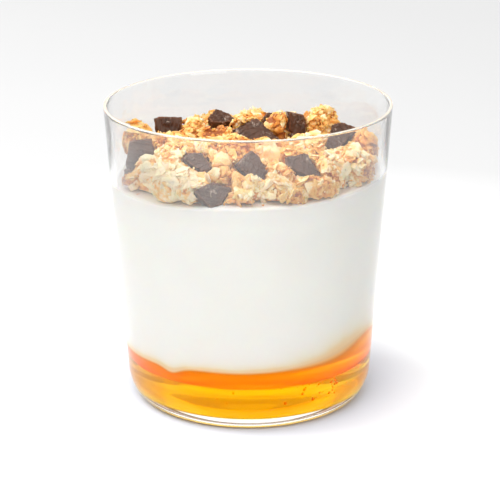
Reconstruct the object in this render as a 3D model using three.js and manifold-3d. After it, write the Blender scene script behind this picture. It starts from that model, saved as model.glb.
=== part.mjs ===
// A clear glass tumbler of thick yogurt on a layer of honey, topped with a heap of granola
// and broken chunks of dark chocolate.
//
// Millimetres, +Z up. The origin is the centre of the flat foot, on the surface it stands on.
// The side that faces the viewer is -Y. A turn about Z is counted from there towards +X.

import * as THREE from 'three';
import { ConvexGeometry } from 'three/addons/geometries/ConvexGeometry.js';
import { mergeVertices } from 'three/addons/utils/BufferGeometryUtils.js';
import Module from 'manifold-3d';

const wasm = await Module();
wasm.setup();

// ---- Driving dimensions -------------------------------------------------------------------

const SEGMENTS = 60; // sides of every round body, so that their facets run parallel
const GAP = 0.3; // between two bodies that touch

// Glass
const RIM_RADIUS = 44;
const GLASS_HEIGHT = 93;
const CONE_RADIUS_AT_TABLE = 37.7; // where the straight outer wall would meet the table
const FOOT_CORNER = { radial: 5.5, height: 10.5 };
const INNER_CORNER = { radial: 5.5, height: 8.5 };
const BASE_THICKNESS = 3.8;
const WALL = 1.7;
const LIP = 1.1;
const LIP_TAPER = 15; // the wall thins to the lip over this height
const CORNER_STEPS = 4;
const LIP_STEPS = 4;

// Honey and yogurt
const HONEY_HEIGHT = 15.5; // of the boundary under the middle of the yogurt
const HONEY_SWELL = 1.9; // the boundary lies this much higher at the front wall, and lower at the back
const HONEY_TILT = 1.05; // and this much higher on the right, and lower on the left
const HONEY_RIPPLES = [ // local waves of its edge: height, turn and half width in degrees
  { height: 0.9, turn: 42, width: 22 },
  { height: -1.6, turn: -38, width: 6 },
  { height: 0.4, turn: -22, width: 12 },
];
const YOGURT_HEIGHT = 71.9; // of the yogurt's top edge, on average
const YOGURT_TILT = 1.5; // the top edge lies this much higher on the right, and lower on the left
const YOGURT_RIPPLE = 0.25; // of the top edge round the wall
const YOGURT_WAVE = 0.5; // of the top surface between wall and middle
const YOGURT_EDGE_ROUND = 0.8;
const WEDGE_DEPTH = 2.2; // honey creeps up between the wall and the yogurt's rounded lower edge
const WEDGE_HEIGHT = 2.5;
const WEDGE_STREAK = { height: 5, turn: 68, width: 24 }; // it runs further up on the right

// Granola
const HEAP_HEIGHT = 79.8; // of the heap's surface, without its lumps
const HEAP_FRONT_DROP = { height: 3.3, from: 14, to: 40 }; // it is thinner towards the front wall
const HEAP_LIMIT = 86.6; // nothing of the heap stands higher
const CORE_DEPTH = 1.9; // the core's top lies this far below the heap's surface
const CORE_INSET = 4.6; // and its side this far from the wall
const CORE_ROOT = 3; // it starts this far below the yogurt's top, and is cut off there
const CORE_SEGMENTS = 30;
const CORE_TOP_INSETS = [7, 13, 20, 29];
const CORE_BUMP = 1.1;
const CORE_WAVE = 0.55; // radians per millimetre, so that a bump is as wide as a lump
const FILL_LUMPS = 64; // candidates; those too near a named lump are skipped
const FILL_REACH = 38; // how far out from the middle they lie
const FILL_SPACING = 6.2;
const FILL_LUMP = { width: [9, 12], height: [6, 8], sunk: [1.6, 2.8] };
const CHUNK_ROOM = 5; // they also stay this far from a point just in front of a chunk
const FRONT_ROOM = 2.5;
const LARGE_LUMP = 10.5; // lumps at least this wide get more facets
const LUMP_SWELL = 1.15; // lumps overlap their neighbours a little
const LUMP_ROUGHNESS = 0.09; // how far a corner is pushed in or out, as a share of the radius
const FLAKES = 44;
const FLAKE = { length: [6, 8.4], width: [4.4, 5.8], thickness: [1.3, 1.8] };
const CRUMBS = 6;
const SCATTER_REACH = 0.46; // flakes and crumbs sit this share of a lump's size from its middle
const CRUMB_WIDTH = [2.4, 3.8];
const CRUMB_ROUGHNESS = 0.15;
const SEED = 11;

// Colours, roughness and metalness
const LOOKS = {
  glass: { color: 0xf2f5f4, roughness: 0.05, transparent: true, opacity: 0.3 },
  honey: { color: 0xf08c00, roughness: 0.1 },
  yogurt: { color: 0xf7f6f0, roughness: 0.45 },
  granola: { color: 0xdba455, roughness: 0.85 },
  chocolate: { color: 0x3b2117, roughness: 0.35 },
};

// Chocolate: the middle of the face that shows, how far that face leans back from upright,
// its turn about Z, the chunk's thickness, how far granola stays off its face, and the face's
// outline (across, up).
const CHUNKS = [
  {
    at: [-25.3, 18, 79.6], lean: 17, turn: 0, thick: 6, bare: 2,
    outline: [[-4.6, 3.4], [-3, 4.2], [4.6, 4], [4.4, 0], [2.8, -4], [-3.6, -4.4]],
  },
  {
    at: [-8.6, 19.3, 83.4], lean: 58, turn: 10, thick: 4.6, bare: 3,
    outline: [[-4.2, 0.2], [-1, 4], [3, 1.6], [5, -1.4], [0.4, -2.8], [-3.4, -2]],
  },
  {
    at: [2.4, 11.2, 80.5], lean: 45, turn: -10, thick: 4.8, bare: 3,
    outline: [[-8, 0.4], [-0.5, 5.6], [8, -2], [7, -4.4], [2, -5], [-5, -3.6]],
  },
  {
    at: [8.2, 23.2, 81.4], lean: 15, turn: 0, thick: 4.6, bare: 0.3,
    outline: [[-4, -0.6], [-2.4, 2.2], [2, 2.3], [4, 1.6], [3.4, -3], [-3.4, -3.2]],
  },
  {
    at: [15.6, 15.4, 82], lean: 8, turn: 18, thick: 5.4, bare: 3,
    outline: [[-2.6, 4], [2.5, 2.6], [3, -1.4], [2.5, -4], [0, -4.2], [-3, -2.4]],
  },
  {
    at: [28, 4.4, 79.8], lean: 38, turn: -18, thick: 3.6, bare: 4,
    outline: [[-3.4, 5], [-0.4, 6.4], [5.4, 4.4], [4.6, 2], [2.4, -2], [-3, -8], [-3.6, -3.4]],
  },
  {
    at: [-33, -5.4, 77.2], lean: 22, turn: 10, thick: 5.4, bare: 3,
    outline: [[-3.2, 4.6], [0, 5], [4, 5], [4.6, 0], [0.6, -4], [-3.8, -4.8], [-4.6, -2]],
  },
  {
    at: [-15.2, -19, 79.5], lean: 38, turn: 0, thick: 4.6, bare: 4,
    outline: [[-4.6, 1], [-2.4, 3], [1.6, 3.1], [2.7, 1], [4.6, -2], [4, -3], [1, -2.9]],
  },
  {
    at: [0.9, -24, 79.8], lean: 22, turn: 18, thick: 5, bare: 3,
    outline: [[-4.6, 0.4], [-0.6, 3.6], [1, 4.5], [3, 2.2], [4.8, -2.3], [3.6, -5.4], [0, -4.6]],
  },
  {
    at: [16.2, -22.6, 79], lean: 50, turn: 0, thick: 4.4, bare: 4,
    outline: [[-5.6, 3.4], [0.4, 5], [1.6, 4.4], [3.8, -0.4], [5.8, -4.8], [4, -5], [-5, 0.2]],
  },
  {
    at: [-9.9, -35.5, 74.6], lean: 45, turn: 15, thick: 3.6, bare: 5,
    outline: [[-5.8, 2], [-2.4, 3.6], [0, 4.4], [2.6, 3.8], [5.8, 2], [2.2, -2.8], [-1.4, -4.2]],
  },
  {
    at: [14.8, 8.4, 80.2], lean: 30, turn: 20, thick: 2.2, bare: 3,
    outline: [[-2, 1], [1.8, 0.8], [1.4, -1], [-1.4, -1.2]],
  },
  {
    at: [-36.4, -11.4, 73.6], lean: 15, turn: -30, thick: 2.4, bare: 1.5,
    outline: [[-1.6, 1.6], [1, 1.8], [1.6, -1.4], [-1.2, -1.6]],
  },
];
const CHUNK_BEVEL = 0.35;
const CHUNK_TAPER = 0.93; // the hidden face is a little smaller than the one that shows
const CHUNK_GROWTH = 1.6; // corners move out by this many gaps, so that every side keeps the gap

// Granola lumps that show, as [x, y, z] of the middle and [across, deep, high].
const NAMED_LUMPS = [
  { at: [-35, 16, 78.6], size: [8, 8, 7.4] },
  { at: [-30.5, 24.5, 78.4], size: [9, 7, 6] },
  { at: [-35, 6.5, 77], size: [9, 10, 10] },
  { at: [-17, 19, 78], size: [7, 8, 7.4] },
  { at: [-11, 8.5, 78], size: [10, 8, 8] },
  { at: [-5.6, 11, 78.2], size: [9, 7, 7] },
  { at: [-1.4, 16.4, 80], size: [8, 6, 8] },
  { at: [8.6, 14.6, 81.4], size: [6.6, 7, 9.6] },
  { at: [21, 17.5, 79.6], size: [6, 6, 8] },
  { at: [24, 24, 80], size: [9, 8, 10.6] },
  { at: [-24.5, 5, 77.8], size: [10, 9, 8] },
  { at: [-21, -12, 77.6], size: [13, 11, 9] },
  { at: [-12, -5, 78.6], size: [11, 10, 8] },
  { at: [-2.5, -5, 78.6], size: [10, 9, 8] },
  { at: [7.4, -9, 79], size: [9, 8, 9.6] },
  { at: [17, 1, 78.6], size: [10, 8, 7] },
  { at: [19, -9, 78], size: [9, 8, 8] },
  { at: [-26.8, -20.6, 76], size: [9, 8, 9] },
  { at: [-34.4, -16.4, 73.4], size: [6, 6, 4.6] },
  { at: [-7.6, -20.4, 78], size: [6.6, 6, 6.4] },
  { at: [-8.4, -27, 76.4], size: [9, 7, 8] },
  { at: [0.6, -33, 75.8], size: [9, 8, 9] },
  { at: [8, -34, 74.8], size: [9, 8, 7] },
  { at: [11, -27, 76.2], size: [6.6, 6, 7.4] },
  { at: [19.6, -31, 75], size: [12, 8, 7] },
  { at: [24.6, -25.6, 76.6], size: [8, 7, 9] },
  { at: [31.6, -19, 76.6], size: [10, 9, 10] },
  { at: [35.4, -3, 78], size: [8, 10, 10] },
  { at: [-21.4, -29.4, 74.8], size: [11, 8, 7.6] },
  { at: [-16.4, -33.6, 74], size: [6.6, 6, 6] },
  { at: [-1, -36.6, 73.4], size: [6, 4.4, 4.4] },
  { at: [13.6, -35.2, 73.6], size: [6, 5, 5] },
];

// ---- Closed meshes ------------------------------------------------------------------------

const UP = new THREE.Vector3(0, 0, 1);
const between = (low, high) => low + (high - low) * THREE.MathUtils.seededRandom();

// Welds equal corners, drops triangles with no area and turns the faces outward.
function closedMesh(geometry) {
  const bare = new THREE.BufferGeometry();
  bare.setAttribute('position', geometry.attributes.position.clone());
  if (geometry.index) {
    bare.setIndex(geometry.index.clone());
  }
  const welded = mergeVertices(bare, 1e-4);
  const place = welded.attributes.position;
  const corners = [0, 1, 2].map(() => new THREE.Vector3());
  const faces = [];
  let volume = 0;
  for (let start = 0; start < welded.index.count; start += 3) {
    const face = [0, 1, 2].map((step) => welded.index.getX(start + step));
    if (new Set(face).size === 3) {
      faces.push(face);
      face.forEach((corner, step) => corners[step].fromBufferAttribute(place, corner));
      volume += corners[0].dot(corners[1].cross(corners[2]));
    }
  }
  const outward = volume > 0 ? faces : faces.map(([a, b, c]) => [a, c, b]);
  welded.setIndex(outward.flat());
  return welded;
}

function toSolid(geometry) {
  const closed = closedMesh(geometry);
  return new wasm.Manifold(new wasm.Mesh({
    numProp: 3,
    vertProperties: new Float32Array(closed.attributes.position.array),
    triVerts: new Uint32Array(closed.index.array),
  }));
}

function toGeometry(solid) {
  const mesh = solid.getMesh();
  const geometry = new THREE.BufferGeometry();
  geometry.setAttribute('position', new THREE.BufferAttribute(mesh.vertProperties, 3));
  geometry.setIndex(new THREE.BufferAttribute(mesh.triVerts, 1));
  return geometry;
}

function largestBody(solid) {
  const bodies = solid.decompose();
  bodies.sort((one, other) => other.volume() - one.volume());
  return bodies[0];
}

// A closed body of rings round the Z axis, from the middle of its underside to the middle of its
// top. Each ring gives [radius, height] for a turn; the first and the last have no radius.
function ringBody(rings, segments = SEGMENTS) {
  const last = rings.length - 1;
  const profile = rings.map((ring, index) => new THREE.Vector2(index % last === 0 ? 0 : 1, index));
  const geometry = new THREE.LatheGeometry(profile, segments);
  const place = geometry.attributes.position;
  for (let corner = 0; corner < place.count; corner += 1) {
    const ring = rings[corner % rings.length];
    const turn = (Math.floor(corner / rings.length) / segments) * 2 * Math.PI;
    const [radius, height] = ring(turn);
    place.setXYZ(corner, radius * Math.sin(turn), -radius * Math.cos(turn), height);
  }
  return closedMesh(geometry);
}

// ---- Glass --------------------------------------------------------------------------------

const WALL_SLOPE = (RIM_RADIUS - CONE_RADIUS_AT_TABLE) / GLASS_HEIGHT;
const coneRadius = (height) => CONE_RADIUS_AT_TABLE + WALL_SLOPE * height;

function wallThickness(height) {
  const towardsLip = (height - (GLASS_HEIGHT - LIP_TAPER)) / LIP_TAPER;
  return THREE.MathUtils.lerp(WALL, LIP, THREE.MathUtils.clamp(towardsLip, 0, 1));
}

// Radius of a wall that bends in to a flat bottom through a quarter of an ellipse.
function cornerRadius(height, bottom, corner, wallRadius) {
  const below = 1 - Math.min((height - bottom) / corner.height, 1);
  return wallRadius - corner.radial * (1 - Math.sqrt(1 - below * below));
}

function outerRadius(height) {
  return cornerRadius(height, 0, FOOT_CORNER, coneRadius(Math.max(height, FOOT_CORNER.height)));
}

const INNER_CORNER_TOP = BASE_THICKNESS + INNER_CORNER.height;

function innerRadius(height) {
  const straight = Math.max(height, INNER_CORNER_TOP);
  const wallRadius = coneRadius(straight) - wallThickness(straight);
  return cornerRadius(height, BASE_THICKNESS, INNER_CORNER, wallRadius);
}

// Heights that follow a quarter of an ellipse in even steps of its angle, from its bottom.
function cornerHeights(bottom, corner) {
  const heights = [];
  for (let step = 0; step <= CORNER_STEPS; step += 1) {
    const angle = (step / CORNER_STEPS) * (Math.PI / 2);
    heights.push(bottom + corner.height * (1 - Math.cos(angle)));
  }
  return heights;
}

function makeGlass() {
  const outside = cornerHeights(0, FOOT_CORNER).map((height) => [outerRadius(height), height]);
  const lipMiddle = RIM_RADIUS - LIP / 2;
  const lipBottom = GLASS_HEIGHT - LIP / 2;
  const lip = [];
  for (let step = 0; step <= LIP_STEPS; step += 1) {
    const angle = (step / LIP_STEPS) * Math.PI;
    lip.push([lipMiddle + (LIP / 2) * Math.cos(angle), lipBottom + (LIP / 2) * Math.sin(angle)]);
  }
  const taperStart = GLASS_HEIGHT - LIP_TAPER;
  const inside = [taperStart, ...cornerHeights(BASE_THICKNESS, INNER_CORNER).reverse()];
  const profile = [
    [0, 0],
    ...outside,
    ...lip,
    ...inside.map((height) => [innerRadius(height), height]),
    [0, BASE_THICKNESS],
  ];
  return ringBody(profile.map((point) => () => point));
}

// ---- Honey and yogurt ---------------------------------------------------------------------

// How high a smooth bump is at `at`. The bump's own turn and half width are in degrees.
function bumpAt(at, { height, turn, width }) {
  const away = THREE.MathUtils.euclideanModulo(THREE.MathUtils.radToDeg(at) - turn + 180, 360) - 180;
  return height * Math.exp(-((away / width) ** 2));
}

const contentRadius = (height) => innerRadius(height) - GAP;

// Height of the honey where the yogurt's underside is level, just inside its rounded edge.
function honeyEdge(turn) {
  const swell = HONEY_SWELL * Math.cos(turn) + HONEY_TILT * Math.sin(turn);
  return HONEY_RIPPLES.reduce((sum, ripple) => sum + bumpAt(turn, ripple), HONEY_HEIGHT + swell);
}

function wedgeHeight(turn) {
  return WEDGE_HEIGHT + bumpAt(turn, WEDGE_STREAK);
}

// The honey's top, which the yogurt's underside follows: inset is the way in from the wall.
function honeyTop(inset, lift) {
  return (turn) => {
    const creep = Math.max(0, 1 - inset / WEDGE_DEPTH) ** 2;
    const wallHeight = honeyEdge(turn) + wedgeHeight(turn);
    const radius = contentRadius(wallHeight) - inset;
    const inward = THREE.MathUtils.smoothstep(inset, WEDGE_DEPTH, contentRadius(wallHeight));
    const level = THREE.MathUtils.lerp(honeyEdge(turn), HONEY_HEIGHT, inward);
    return [radius, level + creep * wedgeHeight(turn) + lift];
  };
}

const WEDGE_INSETS = [0, 0.9, WEDGE_DEPTH, 12];

function makeHoney() {
  const floor = BASE_THICKNESS + GAP;
  const sides = cornerHeights(BASE_THICKNESS, INNER_CORNER).map((height) => () => (
    [contentRadius(height), Math.max(height, floor)]
  ));
  const top = WEDGE_INSETS.map((inset) => honeyTop(inset, 0));
  return ringBody([() => [0, floor], ...sides, ...top, () => [0, HONEY_HEIGHT]]);
}

function yogurtEdge(turn) {
  return YOGURT_HEIGHT + YOGURT_TILT * Math.sin(turn) + YOGURT_RIPPLE * Math.cos(5 * turn + 0.6);
}

// The yogurt's top, which the granola's underside follows.
function yogurtTop(inset, lift) {
  return (turn) => {
    const edge = yogurtEdge(turn);
    const inward = THREE.MathUtils.smoothstep(inset, 0, contentRadius(edge));
    const waves = YOGURT_WAVE * Math.sin(3 * turn + 1) * Math.sin(Math.PI * inward);
    const level = THREE.MathUtils.lerp(edge, YOGURT_HEIGHT, inward) + waves;
    return [contentRadius(edge) - inset, level + lift];
  };
}

const TOP_INSETS = [YOGURT_EDGE_ROUND, 10, 24];

function makeYogurt() {
  const underside = WEDGE_INSETS.map((inset) => honeyTop(inset, GAP)).reverse();
  const shoulder = (turn) => {
    const height = yogurtEdge(turn) - YOGURT_EDGE_ROUND;
    return [contentRadius(height), height];
  };
  const top = TOP_INSETS.map((inset) => yogurtTop(inset, 0));
  const middleBottom = () => [0, HONEY_HEIGHT + GAP];
  const middleTop = () => [0, YOGURT_HEIGHT];
  return ringBody([middleBottom, ...underside, shoulder, ...top, middleTop]);
}

// ---- Chocolate ----------------------------------------------------------------------------

// The hull of the outline at four depths, bevelled at both faces. It can be grown all round, and
// reach forward from the face that shows.
function chunkGeometry(chunk, grow = 0, forward = 0) {
  const depths = [
    { depth: -forward, scale: 1, inset: CHUNK_BEVEL },
    { depth: CHUNK_BEVEL, scale: 1, inset: 0 },
    { depth: chunk.thick - CHUNK_BEVEL, scale: CHUNK_TAPER, inset: 0 },
    { depth: chunk.thick + grow, scale: CHUNK_TAPER, inset: CHUNK_BEVEL },
  ];
  const points = [];
  for (const { depth, scale, inset } of depths) {
    for (const [across, up] of chunk.outline) {
      const reach = Math.hypot(across, up);
      const factor = scale * (1 + (CHUNK_GROWTH * grow - inset) / reach);
      points.push(new THREE.Vector3(across * factor, depth, up * factor));
    }
  }
  return closedMesh(new ConvexGeometry(points));
}

function placeChunk(object, chunk) {
  object.position.set(...chunk.at);
  object.rotation.set(
    THREE.MathUtils.degToRad(-chunk.lean),
    0,
    THREE.MathUtils.degToRad(chunk.turn),
    'ZYX',
  );
  object.updateMatrixWorld();
  return object;
}

// The space that a chunk needs in what lies round it.
function chunkClearance(chunk, forward) {
  const holder = placeChunk(new THREE.Object3D(), chunk);
  return toSolid(chunkGeometry(chunk, GAP, forward).applyMatrix4(holder.matrixWorld));
}

// ---- Granola ------------------------------------------------------------------------------

function heapTop(y) {
  const towardsFront = THREE.MathUtils.smoothstep(-y, HEAP_FRONT_DROP.from, HEAP_FRONT_DROP.to);
  return HEAP_HEIGHT - HEAP_FRONT_DROP.height * towardsFront;
}

// The core goes down into the yogurt, and is cut off at the yogurt's top with the lumps.
function makeCore() {
  const bottom = YOGURT_HEIGHT - CORE_ROOT;
  const side = (height) => (turn) => {
    const uneven = CORE_BUMP * Math.sin(7 * turn);
    return [contentRadius(HEAP_HEIGHT) - CORE_INSET - uneven, height];
  };
  const top = CORE_TOP_INSETS.map((inset) => (turn) => {
    const radius = contentRadius(HEAP_HEIGHT) - inset;
    const x = radius * Math.sin(turn);
    const y = -radius * Math.cos(turn);
    const bumps = Math.sin(x * CORE_WAVE + inset) * Math.sin(y * CORE_WAVE);
    return [radius, heapTop(y) - CORE_DEPTH + CORE_BUMP * bumps];
  });
  const rings = [
    () => [0, bottom],
    side(bottom),
    side(YOGURT_HEIGHT + 2),
    ...top,
    () => [0, HEAP_HEIGHT - CORE_DEPTH],
  ];
  return toSolid(ringBody(rings, CORE_SEGMENTS));
}

// A knobbly rounded body of the given size. The unit ball's corners are pushed in and out.
function knobbly(size, detail, roughness) {
  const geometry = closedMesh(new THREE.IcosahedronGeometry(0.5, detail));
  const place = geometry.attributes.position;
  const corner = new THREE.Vector3();
  for (let index = 0; index < place.count; index += 1) {
    corner.fromBufferAttribute(place, index);
    corner.multiplyScalar(1 + between(-roughness, roughness));
    place.setXYZ(index, ...corner.multiply(size).toArray());
  }
  return geometry;
}

function placedSolid(geometry, position, quaternion) {
  const matrix = new THREE.Matrix4().compose(position, quaternion, new THREE.Vector3(1, 1, 1));
  return toSolid(geometry.applyMatrix4(matrix));
}

function spin(axis, low, high) {
  const angle = THREE.MathUtils.degToRad(between(low, high));
  return new THREE.Quaternion().setFromAxisAngle(axis, angle);
}

// Lumps by name first, then more of them on a sunflower pattern wherever there is room.
function lumpList() {
  const lumps = NAMED_LUMPS.map(({ at, size }) => ({
    at: new THREE.Vector3(...at),
    size: new THREE.Vector3(...size).multiplyScalar(LUMP_SWELL),
  }));
  const goldenAngle = Math.PI * (3 - Math.sqrt(5));
  for (let index = 0; index < FILL_LUMPS; index += 1) {
    const reach = FILL_REACH * Math.sqrt((index + 0.5) / FILL_LUMPS);
    const x = reach * Math.cos(index * goldenAngle);
    const y = reach * Math.sin(index * goldenAngle);
    const width = between(...FILL_LUMP.width);
    const at = new THREE.Vector3(x, y, heapTop(y) - between(...FILL_LUMP.sunk));
    const size = new THREE.Vector3(width, width * between(0.75, 1), between(...FILL_LUMP.height));
    const apart = (other, room) => Math.hypot(other.x - x, other.y - y) > room;
    const clearOfLumps = lumps.every((lump) => apart(lump.at, FILL_SPACING));
    const clearOfChunks = CHUNKS.every(({ at: [across, deep] }) => (
      apart({ x: across, y: deep - FRONT_ROOM }, CHUNK_ROOM)
    ));
    if (clearOfLumps && clearOfChunks) {
      lumps.push({ at, size });
    }
  }
  return lumps;
}

// Oat flakes and crumbs lie on the lumps' upper sides.
function scatterOn(lumps, count, makePiece) {
  const pieces = [];
  for (let index = 0; index < count; index += 1) {
    const lump = lumps[index % lumps.length];
    const out = new THREE.Vector3(between(-1, 1), between(-1, 0.8), between(0.15, 1)).normalize();
    const at = out.clone().multiply(lump.size).multiplyScalar(SCATTER_REACH).add(lump.at);
    const flat = new THREE.Quaternion().setFromUnitVectors(UP, out);
    pieces.push(makePiece(at, flat));
  }
  return pieces;
}

function makeFlake(at, flat) {
  const sides = [FLAKE.length, FLAKE.width, FLAKE.thickness].map((range) => between(...range));
  const size = new THREE.Vector3(...sides);
  const tilt = spin(new THREE.Vector3(1, 0, 0), -35, 35);
  const turned = flat.clone().multiply(tilt).multiply(spin(UP, 0, 360));
  return placedSolid(knobbly(size, 0, LUMP_ROUGHNESS), at, turned);
}

function makeCrumb(at, flat) {
  const width = between(...CRUMB_WIDTH);
  const size = new THREE.Vector3(width, width * between(0.7, 1), width * between(0.6, 0.9));
  return placedSolid(knobbly(size, 0, CRUMB_ROUGHNESS), at, flat.clone().multiply(spin(UP, 0, 360)));
}

function makeGranola(clearances) {
  THREE.MathUtils.seededRandom(SEED);
  const lumps = lumpList();
  const bodies = lumps.map(({ at, size }) => {
    const turned = spin(UP, -25, 25).multiply(spin(new THREE.Vector3(1, 0, 0), -15, 15));
    const detail = size.x >= LARGE_LUMP ? 1 : 0;
    return placedSolid(knobbly(size, detail, LUMP_ROUGHNESS), at, turned);
  });
  const flakes = scatterOn(lumps, FLAKES, makeFlake);
  const crumbs = scatterOn(lumps, CRUMBS, makeCrumb);
  const heap = wasm.Manifold.union([makeCore(), ...bodies, ...flakes, ...crumbs]);

  const underside = TOP_INSETS.map((inset) => yogurtTop(inset, GAP)).reverse();
  const shoulder = (turn) => {
    const height = yogurtEdge(turn) + GAP;
    return [contentRadius(height), height];
  };
  const ceiling = () => [contentRadius(HEAP_LIMIT), HEAP_LIMIT];
  const room = toSolid(ringBody([
    () => [0, YOGURT_HEIGHT + GAP],
    ...underside,
    shoulder,
    ceiling,
    () => [0, HEAP_LIMIT],
  ]));
  const fitted = heap.intersect(room).subtract(wasm.Manifold.union(clearances));
  return toGeometry(largestBody(fitted));
}

// ---- Assembly -----------------------------------------------------------------------------

const part = new THREE.Group();

function addPiece(name, geometry, looks) {
  const piece = new THREE.Mesh(geometry, new THREE.MeshStandardMaterial({ metalness: 0, ...looks }));
  piece.name = name;
  part.add(piece);
  return piece;
}

const inYogurt = CHUNKS.map((chunk) => chunkClearance(chunk, GAP));
const inGranola = CHUNKS.map((chunk) => chunkClearance(chunk, chunk.bare));
const yogurtSolid = toSolid(makeYogurt()).subtract(wasm.Manifold.union(inYogurt));

addPiece('glass', makeGlass(), LOOKS.glass);
addPiece('honey', makeHoney(), LOOKS.honey);
addPiece('yogurt', toGeometry(largestBody(yogurtSolid)), LOOKS.yogurt);
addPiece('granola', makeGranola(inGranola), LOOKS.granola);
CHUNKS.forEach((chunk, index) => {
  const number = String(index + 1).padStart(2, '0');
  placeChunk(addPiece(`chocolate_chunk_${number}`, chunkGeometry(chunk), LOOKS.chocolate), chunk);
});

export default part;
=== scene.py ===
"""The looks of a clear glass tumbler of thick yogurt on a layer of honey, topped with granola
and broken chunks of dark chocolate.

Sizes are in millimetres, and turned to metres where a mesh is made. The side that faces the
viewer is -Y, and a turn about Z is counted from there towards +X.
"""

import math
import random

import bmesh
import bpy
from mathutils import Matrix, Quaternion, Vector, noise
from mathutils.bvhtree import BVHTree
from mathutils.kdtree import KDTree


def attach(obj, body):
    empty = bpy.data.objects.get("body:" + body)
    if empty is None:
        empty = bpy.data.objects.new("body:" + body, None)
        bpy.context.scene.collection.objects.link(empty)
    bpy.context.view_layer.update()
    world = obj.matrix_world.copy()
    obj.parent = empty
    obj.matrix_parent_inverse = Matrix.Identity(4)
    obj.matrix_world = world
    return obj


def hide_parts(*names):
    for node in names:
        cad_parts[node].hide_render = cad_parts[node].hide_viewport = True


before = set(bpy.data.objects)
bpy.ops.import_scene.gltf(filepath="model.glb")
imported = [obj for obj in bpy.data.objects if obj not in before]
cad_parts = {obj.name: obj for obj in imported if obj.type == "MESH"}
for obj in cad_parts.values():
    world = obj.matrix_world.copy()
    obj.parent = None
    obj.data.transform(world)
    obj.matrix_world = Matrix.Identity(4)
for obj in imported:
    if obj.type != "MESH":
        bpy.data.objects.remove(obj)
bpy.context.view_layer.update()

MM = 0.001
SEED = 23
UP = Vector((0, 0, 1))

# ---- Sizes shared with the solids -----------------------------------------------------------

RIM_RADIUS = 44
GLASS_HEIGHT = 93
CONE_RADIUS_AT_TABLE = 37.7
FOOT_RADIAL, FOOT_RISE = 5.5, 10.5
INNER_RADIAL, INNER_RISE = 5.5, 8.5
BASE_THICKNESS = 3.8
WALL = 1.7
LIP = 1.1
LIP_TAPER = 15
HONEY_HEIGHT = 15.5
HONEY_SWELL = 1.9
HONEY_TILT = 1.05
HONEY_RIPPLES = [(0.9, 42, 22), (-1.6, -38, 6), (0.4, -22, 12)]  # height, turn, half width
YOGURT_HEIGHT = 71.9
YOGURT_TILT = 1.5
YOGURT_RIPPLE = 0.25
YOGURT_WAVE = 0.5
YOGURT_EDGE_ROUND = 0.8
WEDGE_DEPTH = 2.2
WEDGE_HEIGHT = 2.5
WEDGE_STREAK = (5, 68, 24)  # height, turn, half width

# ---- Sizes of the fine model -----------------------------------------------------------------

SEGMENTS = 256  # round the glass and what fills it
INTO_WALL = 0.08  # what fills the glass reaches this far into it, so that no air shows
INTO_HONEY = 0.05  # the yogurt's underside reaches this far into the honey
CONE_SLOPE = (RIM_RADIUS - CONE_RADIUS_AT_TABLE) / GLASS_HEIGHT


# ---- Shapes of the glass and of its layers ---------------------------------------------------


def lerp(low, high, share):
    return low + (high - low) * share


def smoothstep(value, low, high):
    share = min(max((value - low) / (high - low), 0), 1)
    return share * share * (3 - 2 * share)


def cone_radius(height):
    return CONE_RADIUS_AT_TABLE + CONE_SLOPE * height


def wall_thickness(height):
    towards_lip = (height - (GLASS_HEIGHT - LIP_TAPER)) / LIP_TAPER
    return lerp(WALL, LIP, min(max(towards_lip, 0), 1))


def corner_radius(height, bottom, radial, rise, wall_radius):
    """Radius of a wall that bends in to a flat bottom through a quarter of an ellipse."""
    below = 1 - min(max((height - bottom) / rise, 0), 1)
    return wall_radius - radial * (1 - math.sqrt(1 - below * below))


def outer_radius(height):
    wall_radius = cone_radius(max(height, FOOT_RISE))
    return corner_radius(height, 0, FOOT_RADIAL, FOOT_RISE, wall_radius)


def inner_radius(height):
    straight = max(height, BASE_THICKNESS + INNER_RISE)
    wall_radius = cone_radius(straight) - wall_thickness(straight)
    return corner_radius(height, BASE_THICKNESS, INNER_RADIAL, INNER_RISE, wall_radius)


def corner_heights(bottom, rise, steps):
    return [bottom + rise * (1 - math.cos(math.pi / 2 * step / steps)) for step in range(steps + 1)]


def at_turn(turn, radius, height):
    """The point at a turn about Z, counted from -Y towards +X."""
    return radius * math.sin(turn), -radius * math.cos(turn), height


def bump_at(at, bump):
    """How high a smooth bump (height, turn and half width in degrees) is at a turn."""
    height, turn, width = bump
    away = (math.degrees(at) - turn + 180) % 360 - 180
    return height * math.exp(-((away / width) ** 2))


def honey_edge(turn):
    """Height of the honey's edge at the wall, without the wedge that climbs above it."""
    swell = HONEY_SWELL * math.cos(turn) + HONEY_TILT * math.sin(turn)
    return HONEY_HEIGHT + swell + sum(bump_at(turn, ripple) for ripple in HONEY_RIPPLES)


def wedge_height(turn):
    """How far a thin wedge of honey climbs the wall over its edge."""
    return WEDGE_HEIGHT + bump_at(turn, WEDGE_STREAK)


def honey_top(inset, lift):
    """The boundary of honey and yogurt: inset is the way in from the wall."""

    def ring(turn):
        creep = max(0, 1 - inset / WEDGE_DEPTH) ** 2
        wall_height = honey_edge(turn) + wedge_height(turn)
        reach = inner_radius(wall_height)
        inward = smoothstep(inset, WEDGE_DEPTH, reach)
        level = lerp(honey_edge(turn), HONEY_HEIGHT, inward)
        return reach + INTO_WALL - inset, level + creep * wedge_height(turn) + lift

    return ring


def yogurt_edge(turn):
    ripple = YOGURT_RIPPLE * math.cos(5 * turn + 0.6)
    return YOGURT_HEIGHT + YOGURT_TILT * math.sin(turn) + ripple


def yogurt_top(inset):
    """The yogurt's upper face: inset is the way in from the wall."""

    def ring(turn):
        edge = yogurt_edge(turn)
        reach = inner_radius(edge)
        inward = smoothstep(inset, 0, reach)
        waves = YOGURT_WAVE * math.sin(3 * turn + 1) * math.sin(math.pi * inward)
        return reach + INTO_WALL - inset, lerp(edge, YOGURT_HEIGHT, inward) + waves

    return ring


# ---- Meshes ----------------------------------------------------------------------------------

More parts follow.
